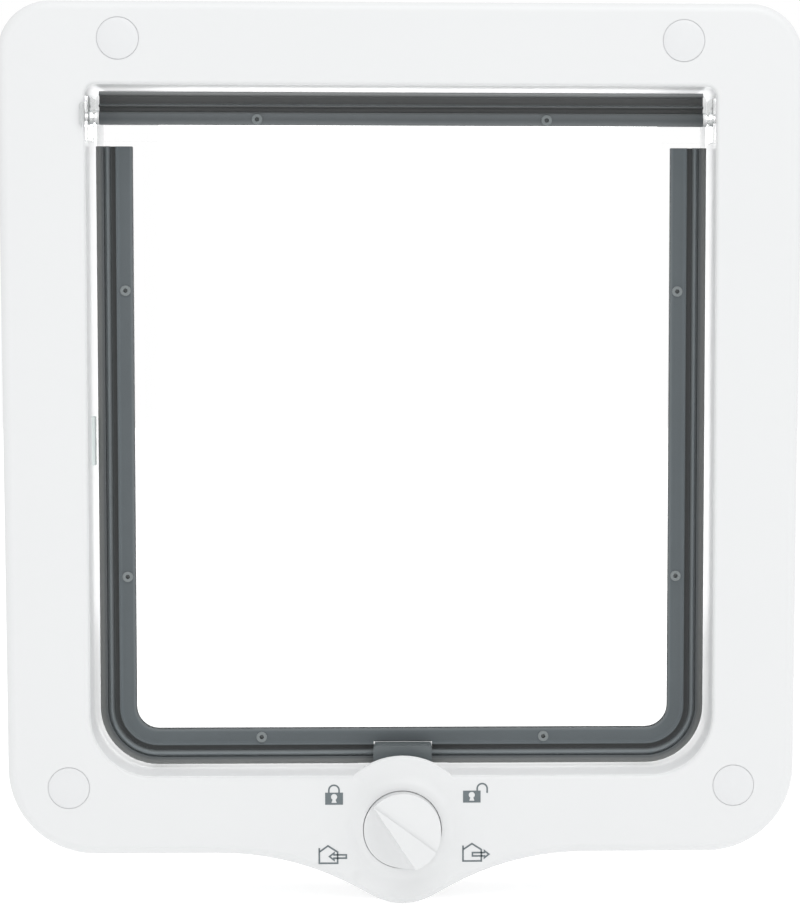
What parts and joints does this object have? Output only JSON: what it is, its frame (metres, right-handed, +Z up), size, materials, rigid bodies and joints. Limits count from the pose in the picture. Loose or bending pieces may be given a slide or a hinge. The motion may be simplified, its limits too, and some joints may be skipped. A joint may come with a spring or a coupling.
{
  "type": "cat flap",
  "caption": "White cat flap for a house door: ribbed clear swinging flap with a grey ridged seal, clipped hinge blocks, rotary lock knob under the sill, latches and a matching outdoor frame.",
  "frame": {"origin": "middle of the passage, on the indoor face of the door, which is the back of the indoor flange", "axes": "X to the right seen from indoors, Y from indoors to outdoors through the door, Z up"},
  "size_m": [0.3018, 0.0731, 0.3424],
  "materials": {
    "white_plastic": "white moulded, satin",
    "cap_plastic": "white moulded, slightly cooler",
    "clear_plastic": "clear, polished",
    "clear_block": "clear, moulded",
    "grey_seal": "grey moulded, dull",
    "rivet_plastic": "grey, dull",
    "latch_plastic": "grey moulded, dull",
    "zinc_steel": "zinc plated",
    "spring_steel": "rolled strip",
    "magnet": "dark coated",
    "pad_rubber": "pale grey-green, dull"
  },
  "bodies": {
    "frame": {"indoor_frame": "white_plastic", "outdoor_frame": "white_plastic", "screw_caps": "cap_plastic", "fixing_screws": "zinc_steel", "hinge_block_left": "clear_block", "hinge_block_right": "clear_block", "detent_spring": "spring_steel", "mechanism_cover": "white_plastic", "cover_screws": "zinc_steel", "sill_magnets": "magnet", "side_pad": "pad_rubber"},
    "flap": {"flap_pane": "clear_plastic", "top_seal_indoor": "grey_seal", "top_seal_outdoor": "grey_seal", "surround_seal_indoor": "grey_seal", "surround_seal_outdoor": "grey_seal", "seal_rivets": "rivet_plastic", "flap_magnets": "magnet"},
    "lock_knob": {"knob": "white_plastic", "cam_shaft": "white_plastic", "knob_screw": "zinc_steel"},
    "front_catch": {"front_latch": "latch_plastic"},
    "rear_catch": {"rear_latch": "latch_plastic"}
  },
  "joints": [
    {"name": "flap_swing", "type": "hinge", "parent": "frame", "child": "flap", "pos_m": [0, 0.0095, 0.1193], "axis": [1, 0, 0], "range_deg": [-80, 80]},
    {"name": "knob_turn", "type": "hinge", "parent": "frame", "child": "lock_knob", "pos_m": [0, -0.012, -0.1508], "axis": [0, -1, 0], "range_deg": [-90, 180]},
    {"name": "front_latch_lift", "type": "slide", "parent": "frame", "child": "front_catch", "axis": [0, 0, 1], "range_m": [0, 0.004]},
    {"name": "rear_latch_lift", "type": "slide", "parent": "frame", "child": "rear_catch", "axis": [0, 0, 1], "range_m": [0, 0.004]}
  ]
}
